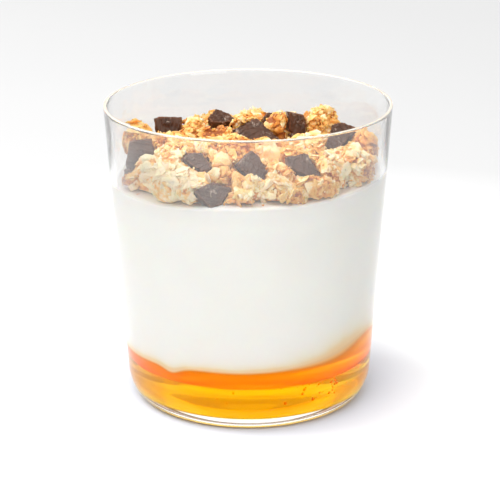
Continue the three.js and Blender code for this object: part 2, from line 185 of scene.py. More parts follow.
SHARP_ANGLE = math.radians(75)  # smooth shading stops at edges sharper than this


def mesh_object(name, vertices, faces, material):
    """A new smooth object from vertices in millimetres."""
    mesh = bpy.data.meshes.new(name)
    mesh.from_pydata([Vector(corner) * MM for corner in vertices], [], faces)
    mesh.materials.append(material)
    mesh.polygons.foreach_set("use_smooth", [True] * len(mesh.polygons))
    mesh.update()
    mesh.set_sharp_from_angle(angle=SHARP_ANGLE)
    piece = bpy.data.objects.new(name, mesh)
    bpy.context.scene.collection.objects.link(piece)
    return piece


def ring_body(rings):
    """Vertices and faces of rings round the Z axis, closed at the middle of both ends.

    Each ring gives radius and height for a turn. The first and the last have no radius.
    """
    vertices = []
    for ring in rings[1:-1]:
        for step in range(SEGMENTS):
            turn = 2 * math.pi * step / SEGMENTS
            vertices.append(at_turn(turn, *ring(turn)))
    faces = []
    for ring in range(len(rings) - 3):
        for step in range(SEGMENTS):
            low = ring * SEGMENTS
            after = (step + 1) % SEGMENTS
            high = low + SEGMENTS
            faces.append((low + step, low + after, high + after, high + step))
    bottom, top = len(vertices), len(vertices) + 1
    last = (len(rings) - 3) * SEGMENTS
    for step in range(SEGMENTS):
        after = (step + 1) % SEGMENTS
        faces.append((bottom, after, step))
        faces.append((top, last + step, last + after))
    vertices.append((0, 0, rings[0](0)[1]))
    vertices.append((0, 0, rings[-1](0)[1]))
    return vertices, faces


def constant(radius, height):
    """A ring that is the same all round."""
    return lambda turn: (radius, height)


def ball_shape(detail):
    """Corners and faces of a ball of radius 1."""
    ball = bmesh.new()
    bmesh.ops.create_icosphere(ball, subdivisions=detail, radius=1)
    corners = [vertex.co.copy() for vertex in ball.verts]
    faces = [[vertex.index for vertex in face.verts] for face in ball.faces]
    ball.free()
    return corners, faces


def remesh(piece, voxel, smoothings):
    """Gives the piece a closed skin of even small squares, a little smoothed."""
    grid = piece.modifiers.new("grid", "REMESH")
    grid.mode = "VOXEL"
    grid.voxel_size = voxel * MM
    smooth = piece.modifiers.new("smooth", "SMOOTH")
    smooth.iterations = smoothings
    smooth.factor = 0.5
    graph = bpy.context.evaluated_depsgraph_get()
    result = bpy.data.meshes.new_from_object(piece.evaluated_get(graph))
    piece.modifiers.clear()
    piece.data = result
    return result


def add_values(mesh, name, values):
    """Keeps one number for each vertex, which a material reads by its name."""
    attribute = mesh.attributes.new(name, "FLOAT", "POINT")
    attribute.data.foreach_set("value", values)


def finish_piece(piece, slot, *nodes):
    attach(piece, "root")
    if nodes:
        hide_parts(*nodes)


# ---- Materials -------------------------------------------------------------------------------


class Shader:
    """Makes one material's nodes. A value that is a socket is linked, others are set."""

    def __init__(self, name):
        self.material = bpy.data.materials.new(name)
        self.material.use_nodes = True
        self.tree = self.material.node_tree
        self.tree.nodes.clear()
        self.output = self.tree.nodes.new("ShaderNodeOutputMaterial")

    def node(self, kind, values=None, **settings):
        node = self.tree.nodes.new("ShaderNode" + kind)
        for name, value in settings.items():
            setattr(node, name, value)
        for name, value in (values or {}).items():
            if isinstance(value, bpy.types.NodeSocket):
                self.tree.links.new(value, node.inputs[name])
            else:
                node.inputs[name].default_value = value
        return node

    def noise(self, scale, detail=3, roughness=0.5, distortion=0, vector=None):
        where = vector or self.node("TexCoord").outputs["Object"]
        values = {
            "Vector": where, "Scale": scale, "Detail": detail,
            "Roughness": roughness, "Distortion": distortion,
        }
        return self.node("TexNoise", values).outputs["Fac"]

    def ramp(self, fac, stops):
        """A colour ramp through (position, colour) stops."""
        node = self.node("ValToRGB", {"Fac": fac})
        elements = node.color_ramp.elements
        while len(elements) < len(stops):
            elements.new(0.5)
        for element, (position, color) in zip(elements, stops):
            element.position = position
            element.color = (*color, 1)
        return node.outputs["Color"]

    def gray_ramp(self, fac, stops):
        return self.ramp(fac, [(stop, (level, level, level)) for stop, level in stops])

    def span(self, value, low, high, to_low, to_high):
        """Maps a value from one range to another, and keeps it inside."""
        values = {
            "Value": value, "From Min": low, "From Max": high,
            "To Min": to_low, "To Max": to_high,
        }
        return self.node("MapRange", values).outputs["Result"]

    def math(self, operation, first, second):
        node = self.node("Math", {0: first, 1: second}, operation=operation)
        return node.outputs[0]

    def mix(self, fac, first, second, blend="MIX"):
        node = self.node("Mix", data_type="RGBA", blend_type=blend)
        for index, value in ((0, fac), (6, first), (7, second)):
            if isinstance(value, bpy.types.NodeSocket):
                self.tree.links.new(value, node.inputs[index])
            else:
                node.inputs[index].default_value = value if index == 0 else (*value, 1)
        return node.outputs[2]

    def bump(self, height, strength, distance, normal=None):
        values = {"Height": height, "Strength": strength, "Distance": distance}
        if normal is not None:
            values["Normal"] = normal
        return self.node("Bump", values).outputs["Normal"]

    def attribute(self, name):
        return self.node("Attribute", attribute_name=name).outputs["Fac"]

    def principled(self, values):
        shader = self.node("BsdfPrincipled", values)
        self.tree.links.new(shader.outputs["BSDF"], self.output.inputs["Surface"])
        return self.material


PAINTED_VEIL = 0.03  # how milky the glass is above the yogurt: a painted veil that stands in for the light the empty wall reflects
LIP_PAINTED_HIGHLIGHT = 0.5  # how white and unclear the lip is: a painted highlight along the rim
LIP_FADE = (GLASS_HEIGHT - 0.45, GLASS_HEIGHT - 0.15)  # the lip's looks begin between these heights
EMPTY_WALL_FADE = (YOGURT_HEIGHT - 6, YOGURT_HEIGHT + 2)  # and the empty wall's between these


def glass_material():
    """Clear glass, grey above the yogurt with a milky share that paints a veil of reflected light,
    and a painted warm highlight in the lip.
    """
    shader = Shader("clear_glass")
    height = shader.node("SeparateXYZ", {0: shader.node("TexCoord").outputs["Object"]}).outputs["Z"]
    rim = shader.span(height, LIP_FADE[0] * MM, LIP_FADE[1] * MM, 0, 1)
    above = shader.span(height, EMPTY_WALL_FADE[0] * MM, EMPTY_WALL_FADE[1] * MM, 0, 1)
    tint = shader.mix(above, (0.975, 0.98, 0.975), (0.932, 0.934, 0.93))
    # painted highlight: a warm beige lip that stands in for light carried up the wall
    tint = shader.mix(rim, tint, (0.94, 0.84, 0.69))
    # painted reflection: part of the empty wall's light is scattered as a white veil
    clear = shader.span(above, 0, 1, 1, 1 - PAINTED_VEIL)
    clear = shader.math("SUBTRACT", clear, shader.math("MULTIPLY", rim, LIP_PAINTED_HIGHLIGHT))
    gleam = shader.mix(above, (0.1, 0.1, 0.1), (1.0, 1.0, 1.0))
    return shader.principled({
        "Base Color": tint,
        "Roughness": 0.0,
        "IOR": 1.5,
        "Specular Tint": gleam,
        "Transmission Weight": clear,
    })


HONEY_FLOOR, HONEY_CEILING = 3, 21  # the heights, in millimetres, that the colours run between
HONEY_STOPS = [  # yellow at the floor of the glass, golden, a bright vein, deep orange on top
    (0.0, (1.0, 0.84, 0.0)),
    (0.08, (1.0, 0.76, 0.0)),
    (0.2, (1.0, 0.5, 0.0)),
    (0.5, (1.0, 0.5, 0.0)),
    (0.58, (1.0, 0.56, 0.0)),
    (0.64, (1.0, 0.15, 0.0)),
    (0.8, (1.0, 0.22, 0.0)),
    (1.0, (1.0, 0.42, 0.0)),
]
HONEY_CLEARNESS = [(0.0, 1.0), (0.59, 1.0), (0.66, 0.5), (1.0, 0.5)]
HONEY_PAINTED_GLOW = [(0.0, 0.065), (0.5, 0.065), (0.58, 0.13), (0.66, 0.3), (1.0, 0.3)]  # painted glow: emission that stands in for light shining through the honey
FILM_STOPS = [  # where it thins out over the yogurt
    (0.0, (1.0, 0.25, 0.0)),
    (0.4, (0.99, 0.36, 0.04)),
    (0.7, (0.97, 0.56, 0.2)),
    (1.0, (0.96, 0.72, 0.42)),
]
STREAK_FOOT, STREAK_SLOPE = 9.2, 0.07  # height of the bright streak at the middle, and its rise to +X


def honey_material():
    """Clear and golden below, cloudy and orange above, and thin over the yogurt's edge, with a
    painted glow that is strongest on top.
    """
    shader = Shader("clear_honey")
    place = shader.node("TexCoord").outputs["Object"]
    parts = shader.node("SeparateXYZ", {0: place}).outputs
    height = parts["Z"]
    layers = shader.node("Mapping", {"Vector": place, "Scale": (0.25, 0.25, 2.2)}).outputs["Vector"]
    swirl = shader.span(shader.noise(60, 3, 0.5, 0.8, layers), 0.3, 0.7, -0.7 * MM, 0.7 * MM)
    height = shader.math("ADD", height, swirl)
    level = shader.span(height, HONEY_FLOOR * MM, HONEY_CEILING * MM, 0, 1)
    color = shader.ramp(level, HONEY_STOPS)
    veins = shader.span(shader.noise(150, 3, 0.5, 0.5, layers), 0.45, 0.6, 0, 0.25)
    veins = shader.math("MULTIPLY", veins, shader.span(level, 0.55, 0.62, 1, 0.2))
    color = shader.mix(veins, color, (1.0, 0.9, 0.0))
    line = shader.math("MULTIPLY", parts["X"], STREAK_SLOPE)
    away = shader.math("SUBTRACT", height, shader.math("ADD", line, STREAK_FOOT * MM))
    near = shader.span(shader.math("ABSOLUTE", away, 0), 0, 1.5 * MM, 1, 0)
    right = shader.span(parts["X"], 12 * MM, 24 * MM, 0, 0.9)
    color = shader.mix(shader.math("MULTIPLY", near, right), color, (1.0, 0.85, 0.0))
    film = shader.attribute("film")
    body_color = shader.mix(shader.span(film, 0, 0.3, 0, 1), color, shader.ramp(film, FILM_STOPS))
    clearness = shader.gray_ramp(level, HONEY_CLEARNESS)
    clearness = shader.math("MULTIPLY", clearness, shader.span(film, 0.1, 0.7, 1, 0.1))
    # painted glow: the honey emits its colour, most in the orange top and fading out where it is a
    # thin film
    painted_glow = shader.gray_ramp(level, HONEY_PAINTED_GLOW)
    painted_glow = shader.math("MULTIPLY", painted_glow, shader.span(film, 0, 0.5, 1, 0))
    shader.principled({
        "Base Color": body_color,
        "Roughness": 0.0,
        "IOR": 1.49,
        "Transmission Weight": clearness,
        "Specular Tint": (0.0, 0.0, 0.0, 1),
        "Emission Color": color,
        "Emission Strength": painted_glow,
    })
    volume = shader.node("VolumeAbsorption", {"Color": (1.0, 0.83, 0.0, 1), "Density": 30.0})
    shader.tree.links.new(volume.outputs["Volume"], shader.output.inputs["Volume"])
    return shader.material


def bubble_material():
    """Small bubbles look like darker dots in the honey, and glow with a painted orange light."""
    shader = Shader("honey_bubble")
    return shader.principled({
        "Base Color": (0.9, 0.2, 0.0, 1),
        "Roughness": 0.15,
        # painted glow: the bubbles emit a deep orange
        "Emission Color": (1.0, 0.2, 0.0, 1),
        "Emission Strength": 0.35,
    })


STAIN_STOPS = [(0.0, (0.95, 0.9, 0.76)), (0.5, (0.96, 0.84, 0.62)), (1.0, (0.96, 0.72, 0.42))]


def yogurt_material():
    """Cream white, stained by the honey along its lower edge."""
    shader = Shader("thick_yogurt")
    cloud = shader.span(shader.noise(60, 2), 0.3, 0.7, 0, 1)
    cream = shader.mix(cloud, (0.95, 0.935, 0.885), (0.96, 0.95, 0.905))
    patchy = shader.span(shader.noise(70, 3), 0.3, 0.7, 0.7, 1.3)
    stain = shader.math("MULTIPLY", shader.attribute("stain"), patchy)
    amount = shader.span(stain, 0.04, 0.75, 0, 1)
    honeyed = shader.ramp(stain, STAIN_STOPS)
    color = shader.mix(amount, cream, honeyed)
    return shader.principled({
        "Base Color": color,
        "Roughness": 0.35,
        "Subsurface Weight": 0.6,
        "Subsurface Radius": (1.0, 0.8, 0.6),
        "Subsurface Scale": 1.2 * MM,
        "Normal": shader.bump(shader.noise(350, 3), 0.15, 0.2 * MM),
    })


def oat_material(name, stops, coat, rough):
    """Toasted oats: every flake has its own tone, which also carries painted shade and light, and its
    surface is mottled and grainy.
    """
    shader = Shader(name)
    tone = shader.attribute("tone")
    mottle = shader.span(shader.noise(420, 4, 0.6), 0.32, 0.68, -0.14, 0.14)
    fine = shader.span(shader.noise(1500, 3, 0.6), 0.3, 0.7, -0.1, 0.1)
    tone = shader.math("ADD", shader.math("ADD", tone, mottle), fine)
    color = shader.ramp(tone, stops)
    grain = shader.noise(2200, 3, 0.65)
    normal = shader.bump(grain, 0.3, 0.2 * MM)
    normal = shader.bump(shader.noise(800, 3), 0.4, 0.35 * MM, normal)
    return shader.principled({
        "Base Color": color,
        "Roughness": shader.span(fine, -0.1, 0.1, rough - 0.1, rough + 0.1),
        "Subsurface Weight": 0.4,
        "Subsurface Radius": (1.0, 0.45, 0.15),
        "Subsurface Scale": 1.0 * MM,
        "Coat Weight": coat,
        "Coat Roughness": 0.25,
        "Normal": normal,
    })


OAT_STOPS = [
    (0.0, (0.36, 0.10, 0.015)),
    (0.25, (0.68, 0.25, 0.04)),
    (0.5, (0.88, 0.45, 0.11)),
    (0.75, (0.95, 0.62, 0.24)),
    (1.0, (0.98, 0.80, 0.53)),
]
NUT_STOPS = [
    (0.0, (0.62, 0.26, 0.05)),
    (0.5, (0.90, 0.56, 0.20)),
    (1.0, (0.96, 0.78, 0.50)),
]


def chocolate_material():
    """Dark and paler along its sharp edges, with greyish bloom that also paints a sheen, and streaks
    and cracks in patches of its broken faces.
    """
    shader = Shader("dark_chocolate")
    cocoa = shader.span(shader.noise(260, 4, 0.6), 0.35, 0.65, 0, 1)
    base = shader.mix(cocoa, (0.042, 0.0145, 0.0065), (0.078, 0.027, 0.0115))
    fleck = shader.noise(900, 5, 0.7, 1.0)
    dust = shader.span(fleck, 0.58, 0.72, 0, 0.35)
    base = shader.mix(dust, base, (0.22, 0.11, 0.06))
    # greyish bloom, which in part is painted sheen on some chunks
    bloom_and_sheen = shader.span(shader.noise(90, 2), 0.4, 0.6, 0, 0.12)
    base = shader.mix(bloom_and_sheen, base, (0.20, 0.13, 0.10))
    # paler along the sharp edges
    edge = shader.math("MULTIPLY", shader.attribute("tone"), shader.span(fleck, 0.35, 0.65, 0.1, 0.7))
    base = shader.mix(edge, base, (0.30, 0.12, 0.055))
    streak_place = shader.node("Mapping", {
        "Vector": shader.node("TexCoord").outputs["Object"],
        "Rotation": (0.4, 0.2, 0.9),
        "Scale": (1.0, 0.22, 1.0),
    }).outputs["Vector"]
    streaks = shader.noise(1300, 3, 0.6, 0.3, streak_place)
    patches = shader.span(shader.noise(230, 2), 0.5, 0.6, 0, 1)
    scratch = shader.math("MULTIPLY", shader.span(streaks, 0.52, 0.64, 0, 0.8), patches)
    base = shader.mix(scratch, base, (0.42, 0.33, 0.27))
    cells = shader.node("TexVoronoi", {
        "Vector": shader.node("TexCoord").outputs["Object"], "Scale": 230.0, "Detail": 1.0,
    }, feature="DISTANCE_TO_EDGE").outputs["Distance"]
    crack = shader.math("MULTIPLY", shader.span(cells, 0, 0.05, 1, 0), patches)
    base = shader.mix(crack, base, (0.012, 0.004, 0.002))
    normal = shader.bump(streaks, 0.5, 0.2 * MM)
    normal = shader.bump(crack, 0.6, -0.3 * MM, normal)
    normal = shader.bump(shader.noise(500, 4), 0.5, 0.3 * MM, normal)
    return shader.principled({
        "Base Color": base,
        "Roughness": shader.span(shader.noise(700, 3), 0.3, 0.7, 0.26, 0.5),
        "Specular IOR Level": 0.28,
        "Specular Tint": (1.0, 0.82, 0.7, 1),
        "Coat Weight": 0.12,
        "Coat Roughness": 0.14,
        "Normal": normal,
    })


FLOOR_REACH = 0.26  # metres from the glass to where the floor's colour stops changing
# painted shadow: cool and darker under and near the glass; painted shade: darker far from it
FLOOR_SHADE_STOPS = [
    (0.15, (0.76, 0.80, 0.88)),
    (0.24, (0.95, 0.95, 0.95)),
    (0.38, (0.95, 0.95, 0.95)),
    (1.0, (0.65, 0.65, 0.65)),
]


def floor_material():
    """Pale, with a painted cool shadow under and near the glass and painted shade far from it."""
    shader = Shader("pale_floor")
    place = shader.node("TexCoord").outputs["Object"]
    away = shader.node("VectorMath", {0: place}, operation="LENGTH").outputs["Value"]
    grain = shader.span(shader.noise(3, 2), 0.3, 0.7, -0.02, 0.02)
    away = shader.math("ADD", shader.span(away, 0, FLOOR_REACH, 0, 1), grain)
    color = shader.ramp(away, FLOOR_SHADE_STOPS)
    return shader.principled({"Base Color": color, "Roughness": 0.9, "Specular IOR Level": 0.1})


# ---- Glass -----------------------------------------------------------------------------------

CORNER_STEPS = 14
LIP_STEPS = 10
UNDER_LIP = (91.6, 92.2)  # rings that keep the lip's curve out of the wall's normals
OUTSIDE_RINGS = [11.5, 20, 35, 50, 70, 85, *UNDER_LIP]
INSIDE_RINGS = [*reversed(UNDER_LIP), 89, 84, GLASS_HEIGHT - LIP_TAPER, 72, 60, 40, 22, 13.5]


def make_glass():
    foot = corner_heights(0, FOOT_RISE, CORNER_STEPS)
    outside = [(outer_radius(height), height) for height in foot]
    outside += [(cone_radius(height), height) for height in OUTSIDE_RINGS]
    lip_middle = RIM_RADIUS - LIP / 2
    lip_bottom = GLASS_HEIGHT - LIP / 2
    lip = []
    for step in range(LIP_STEPS + 1):
        angle = math.pi * step / LIP_STEPS
        lip.append((lip_middle + LIP / 2 * math.cos(angle), lip_bottom + LIP / 2 * math.sin(angle)))
    heights = INSIDE_RINGS + corner_heights(BASE_THICKNESS, INNER_RISE, CORNER_STEPS)[::-1]
    inside = [(inner_radius(height), height) for height in heights]
    profile = [(0, 0), *outside, *lip, *inside, (0, BASE_THICKNESS)]
    vertices, faces = ring_body([constant(*point) for point in profile])
    piece = mesh_object("glass_tumbler", vertices, faces, glass_material())
    finish_piece(piece, "glass", "glass")


# ---- Honey and yogurt ------------------------------------------------------------------------

TOP_INSETS = [0, 0.25, 0.5, 0.8, 1.1, 1.5, WEDGE_DEPTH, 3, 5, 8, 12, 18, 26]
YOGURT_SIDE_STEPS = 40
STAIN_RISE = 1.6  # how fast the honey's colour fades upward in the yogurt
STAIN_SMEAR = (2.6, 52, 24)  # how much slower it fades at the right: height, turn, half width
FILM_REACH = 0.7  # how far below its edge the honey is only a thin film
FILM_SMEAR = (2.2, 48, 20)  # how much further at the right: height, turn, half width
AT_WALL = 0.5  # a vertex nearer to the wall than this belongs to the honey's side
HONEY_SIDE_STEPS = 18
YOGURT_TOP_INSETS = [YOGURT_EDGE_ROUND, 2, 4, 7, 10, 14, 19, 24, 31]
BUBBLES = 60
BUBBLE_RADII = [0.16, 0.2, 0.24, 0.28, 0.34, 0.45]
BUBBLE_TURN, BUBBLE_SPREAD = 30, 13  # most of them lie round this turn, in degrees
STRAY_TURNS = (-50, 50)  # every sixth one lies anywhere between these turns
BUBBLE_HEIGHTS = (8, 16.5)
BUBBLE_GAPS = (0.1, 0.4)  # between a bubble and the wall


def make_honey():
    bottom = BASE_THICKNESS - INTO_WALL
    sides = []
    for height in corner_heights(BASE_THICKNESS, INNER_RISE, CORNER_STEPS):
        sides.append(constant(inner_radius(height) + INTO_WALL, height - INTO_WALL))

    def side(share):
        def ring(turn):
            height = lerp(BASE_THICKNESS + INNER_RISE, honey_edge(turn) + wedge_height(turn), share)
            return inner_radius(height) + INTO_WALL, height

        return ring

    sides += [side(step / HONEY_SIDE_STEPS) for step in range(1, HONEY_SIDE_STEPS)]
    rings = [constant(0, bottom), *sides]
    rings += [honey_top(inset, 0) for inset in TOP_INSETS]
    rings.append(constant(0, HONEY_HEIGHT))
    vertices, faces = ring_body(rings)
    piece = mesh_object("honey_layer", vertices, faces, honey_material())
    film = []
    for x, y, z in vertices:
        turn = math.atan2(x, -y)
        below = honey_edge(turn) + wedge_height(turn) - z
        reach = FILM_REACH + bump_at(turn, FILM_SMEAR)
        at_wall = math.hypot(x, y) > inner_radius(z) - AT_WALL
        film.append(math.exp(-((max(below, 0) / reach) ** 2)) if at_wall else 0)
    add_values(piece.data, "film", film)
    finish_piece(piece, "honey", "honey")


def make_yogurt():
    """The body of yogurt, from the honey's top up to its own rounded edge and wavy top."""
    underside = [honey_top(inset, -INTO_HONEY) for inset in reversed(TOP_INSETS)]

    def side(share):
        def ring(turn):
            low = honey_edge(turn) + wedge_height(turn)
            height = lerp(low, yogurt_edge(turn) - YOGURT_EDGE_ROUND, share)
            return inner_radius(height) + INTO_WALL, height

        return ring

    sides = [side((step + 1) / YOGURT_SIDE_STEPS) for step in range(YOGURT_SIDE_STEPS)]

    def shoulder(angle):
        def ring(turn):
            edge = yogurt_edge(turn)
            inset = YOGURT_EDGE_ROUND * (1 - math.cos(angle))
            height = edge - YOGURT_EDGE_ROUND * (1 - math.sin(angle))
            return inner_radius(edge) + INTO_WALL - inset, height

        return ring

    round_steps = [shoulder(math.radians(angle)) for angle in (30, 60)]
    tops = [yogurt_top(inset) for inset in YOGURT_TOP_INSETS]
    rings = [constant(0, HONEY_HEIGHT - INTO_HONEY), *underside, *sides, *round_steps, *tops]
    rings.append(constant(0, YOGURT_HEIGHT))
    vertices, faces = ring_body(rings)
    piece = mesh_object("yogurt_body", vertices, faces, yogurt_material())
    stain = []
    for x, y, z in vertices:
        turn = math.atan2(x, -y)
        above = z - honey_edge(turn) - wedge_height(turn)
        reach = STAIN_RISE + bump_at(turn, STAIN_SMEAR)
        stain.append(math.exp(-max(above, 0) / reach))
    add_values(piece.data, "stain", stain)
    finish_piece(piece, "yogurt", "yogurt")


def make_bubbles(rng):
    """Small bubbles of air in the honey, most of them at the front right."""
    corners, sides = ball_shape(3)
    vertices, faces = [], []
    for index in range(BUBBLES):
        stray = index % 6 == 0
        turn = rng.uniform(*STRAY_TURNS) if stray else rng.gauss(BUBBLE_TURN, BUBBLE_SPREAD)
        height = rng.uniform(*BUBBLE_HEIGHTS)
        radius = rng.choice(BUBBLE_RADII)
        reach = inner_radius(height) - radius - rng.uniform(*BUBBLE_GAPS)
        middle = Vector(at_turn(math.radians(turn), reach, height))
        start = len(vertices)
        vertices += [middle + corner * radius for corner in corners]
        faces += [[start + corner for corner in side] for side in sides]
    piece = mesh_object("honey_bubbles", vertices, faces, bubble_material())
    finish_piece(piece, "honey")


# ---- Granola ---------------------------------------------------------------------------------


def node_vertices(name):
    """A CAD node's vertices and triangles, in millimetres."""
    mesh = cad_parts[name].data
    mesh.calc_loop_triangles()
    vertices = [vertex.co / MM for vertex in mesh.vertices]
    return vertices, [tuple(face.vertices) for face in mesh.loop_triangles]


def tree_of(*names):
    """One search tree over the surfaces of CAD nodes."""
    vertices, triangles = [], []
    for name in names:
        start = len(vertices)
        more, faces = node_vertices(name)
        vertices += more
        triangles += [[start + corner for corner in face] for face in faces]
    return BVHTree.FromPolygons(vertices, triangles)


CHUNKS = sorted(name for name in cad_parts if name.startswith("chocolate_chunk"))
chunk_tree = tree_of(*CHUNKS)
heap_tree = tree_of("granola")


class Batch:
    """Many small things joined in one mesh, each with its own tone from 0 (dark) to 1 (pale), which
    for oats and nuts also carries painted shade and light.
    """

    def __init__(self):
        self.vertices = []
        self.faces = []
        self.tones = []

    def add(self, corners, faces, tone):
        start = len(self.vertices)
        self.vertices += corners
        self.faces += [[start + corner for corner in face] for face in faces]
        self.tones += tone if isinstance(tone, list) else [tone] * len(corners)

    def make(self, name, material):
        piece = mesh_object(name, self.vertices, self.faces, material)
        add_values(piece.data, "tone", self.tones)
        return piece


FLAKE_SIDES, FLAKE_RINGS = 14, [0.4, 0.78, 1.0]
SHARD_SIDES, SHARD_RINGS = 10, [0.6, 1.0]
CREASE_WIDTH = 0.14  # as a share of the flake's width
FLAKE_WAVES = 0.35  # height of the uneven waves in a flake


def flake_shape(rng, length, width, thickness, sides, ring_shares):
    """A rolled oat: a thin curled disc with a crease along it and a ragged edge."""
    bend = rng.uniform(-0.05, 0.05)
    twist = rng.uniform(-0.05, 0.05)
    cup = rng.uniform(0.0, 0.09)
    crease = rng.uniform(0.1, 0.4)
    ragged = [1 + rng.uniform(-0.16, 0.12) for _ in range(sides)]
    phase = Vector((rng.uniform(0, 100), rng.uniform(0, 100), 0))

    def middle(x, y):
        wave = noise.noise(Vector((x, y, 0)) * 0.9 + phase) * FLAKE_WAVES
        groove = crease * math.exp(-((y / (CREASE_WIDTH * width)) ** 2))
        return bend * x * x + twist * x * y + cup * y * y - groove + wave

    shares = [*ring_shares, *ring_shares[-2::-1]]  # out over the top, then back underneath
    corners = [(0, 0, middle(0, 0) + thickness / 2)]
    for index, share in enumerate(shares):
        half = thickness / 2 * (1 - share**4)
        above = half if index < len(ring_shares) else -half
        for step in range(sides):
            angle = 2 * math.pi * step / sides
            reach = share * (ragged[step] if share > 0.5 else 1)
            x = reach * length / 2 * math.cos(angle)
            y = reach * width / 2 * math.sin(angle)
            corners.append((x, y, middle(x, y) + above))
    corners.append((0, 0, middle(0, 0) - thickness / 2))
    last = 1 + (len(shares) - 1) * sides
    faces = []
    for step in range(sides):
        after = (step + 1) % sides
        faces.append((0, 1 + step, 1 + after))
        faces.append((len(corners) - 1, last + after, last + step))
        for ring in range(len(shares) - 1):
            low = 1 + ring * sides
            high = low + sides
            faces.append((low + step, high + step, high + after, low + after))
    return [Vector(corner) for corner in corners], faces


LUMP_FREQUENCY = 2.1


def crumb_shape(rng, size, ball, roughness):
    """A lumpy grain: a ball pushed in and out by noise."""
    phase = Vector((rng.uniform(0, 100), rng.uniform(0, 100), rng.uniform(0, 100)))
    corners, faces = ball
    placed = []
    for corner in corners:
        push = 1 + roughness * noise.noise(corner * LUMP_FREQUENCY + phase)
        placed.append(Vector(side * half for side, half in zip(corner * push, size)))
    return placed, faces


HEAP_LEAST_RISE = -0.35  # granola also lies on faces that hang over a little
HEAP_LEAST_HEIGHT = YOGURT_HEIGHT - 1


def heap_surface():
    """The CAD heap's triangles that can carry granola, with their areas."""
    vertices, triangles = node_vertices("granola")
    faces, weights = [], []
    for triangle in triangles:
        a, b, c = (vertices[corner] for corner in triangle)
        normal = (b - a).cross(c - a)
        area = normal.length / 2
        if area == 0 or min(a.z, b.z, c.z) <= HEAP_LEAST_HEIGHT:
            continue
        if normal.z / (2 * area) > HEAP_LEAST_RISE:
            faces.append((a, b, c, normal.normalized()))
            weights.append(area)
    return faces, weights


def random_spot(rng, faces, weights):
    """A point on the heap, equally likely everywhere, and the surface's normal there."""
    a, b, c, normal = rng.choices(faces, weights)[0]
    s, t = rng.random(), rng.random()
    if s + t > 1:
        s, t = 1 - s, 1 - t
    return a + (b - a) * s + (c - a) * t, normal


def lump_grain(point):
    """The way the flakes of one cluster run, in radians. It changes from cluster to cluster."""
    return math.pi * noise.noise(point * 0.085 + Vector((3.1, 7.7, 1.3))) * 2.2


HIDING_DEPTH = 16  # a chunk further behind a thing than this isn't hidden by it
VIEWER_ELEVATION = math.radians(19)
AWAY = Vector((0, math.cos(VIEWER_ELEVATION), -math.sin(VIEWER_ELEVATION)))


def hides_chocolate(points):
    """Whether a thing at these points stands in front of the bare part of a chunk."""
    for point in points:
        hit, _, _, distance = chunk_tree.ray_cast(point, AWAY, HIDING_DEPTH)
        if hit and not heap_tree.ray_cast(point, AWAY, distance)[0]:
            return True
    return False


GLASS_GAP = 0.1
PLACE_GAP = 0.15


def keep_in_glass(point, room):
    """The point moved inward so that a thing of that half size stays clear of the wall."""
    limit = inner_radius(point.z) - PLACE_GAP - room
    reach = math.hypot(point.x, point.y)
    if reach > limit:
        point = Vector((point.x * limit / reach, point.y * limit / reach, point.z))
    return point


def inside_glass(corners):
    return all(math.hypot(c.x, c.y) < inner_radius(c.z) - GLASS_GAP for c in corners)


CLUSTERS = [  # centre of a cluster, its radius, how much paler (or more toasted) it is; the two pale ones at the front left are also painted light, paler to offset the shade there
    ((32, -23.5, 77.5), 9, 0.4),
    ((-28.8, -24.3, 76.2), 9, 0.75),
    ((-19, -31, 75), 9, 0.65),
    ((0.6, -36.3, 77.6), 6, 0.25),
    ((-20.7, -18.7, 78.5), 7, 0.2),
    ((20.3, -35.4, 74.5), 8, 0.2),
    ((-24, 8, 80), 7, -0.15),
    ((-35.7, -18.7, 74.5), 4, -0.4),
    ((-37, -4, 80), 5, -0.35),
    ((9, 12, 80), 5, -0.2),
    ((-14, 8, 79), 7, -0.25),
]


MEAN_TONE, TONE_RANGE = 0.6, 0.45


def cluster_tone(point):
    """Clusters differ in how toasted they are, and the two at the front left are also painted paler
    to offset the shade there.
    """
    tone = MEAN_TONE + TONE_RANGE * noise.noise(point * 0.13 + Vector((11, 5, 2)))
    for centre, radius, shift in CLUSTERS:
        tone += shift * math.exp(-(((point - Vector(centre)).length / radius) ** 2))
    return tone


DEPTH_SHADING = 0.3  # painted shade and light: how much paler a millimetre higher on the heap's surface is
EVEN_HEIGHT = 0.4  # the height over the solid's face that neither darkens nor pales
DEEPEST, HIGHEST = -1.2, 0.8


def depth_shading(point):
    """Painted shade and light: crevices are darker and tips are paler than the heap's mean surface.
    """
    nearest, normal, _, _ = heap_tree.find_nearest(point)
    height = (point - nearest).dot(normal)
    return DEPTH_SHADING * min(max(height - EVEN_HEIGHT, DEEPEST), HIGHEST)


CORE_VOXEL = 0.45  # the side of the core's small squares
CORE_SINK = 0.35  # the core's mean surface lies this far under the solid's
CORE_RELIEF = 0.5  # height of its broad bumps
GRAIN_WIDTH = 1.5  # of the crumbs in its relief
GRAIN_HEIGHT = 0.75
EDGE_BAND = 0.8  # this close to the yogurt the core isn't raised
FLAKES = 350
SHARDS = 700
GRAINS = 2500
CRUMBS = 5200
LOOSE_CRUMBS = 60  # thrown on the yogurt, where those that fall under the heap are left out
PIT_SHADE = 0.8  # painted shade: how much darker the core is between its grains
OWN_RANGE = 0.25  # how much the tones of its grains differ
COARSE_LUMPS, FINE_LUMPS = 1.1, 0.4  # how uneven grains and crumbs are
COARSE_WIDTHS = [0.45, 0.55, 0.7, 0.85, 1.05, 1.4]  # half widths of grains
FINE_WIDTHS = [0.22, 0.28, 0.34, 0.42, 0.5]  # half widths of crumbs


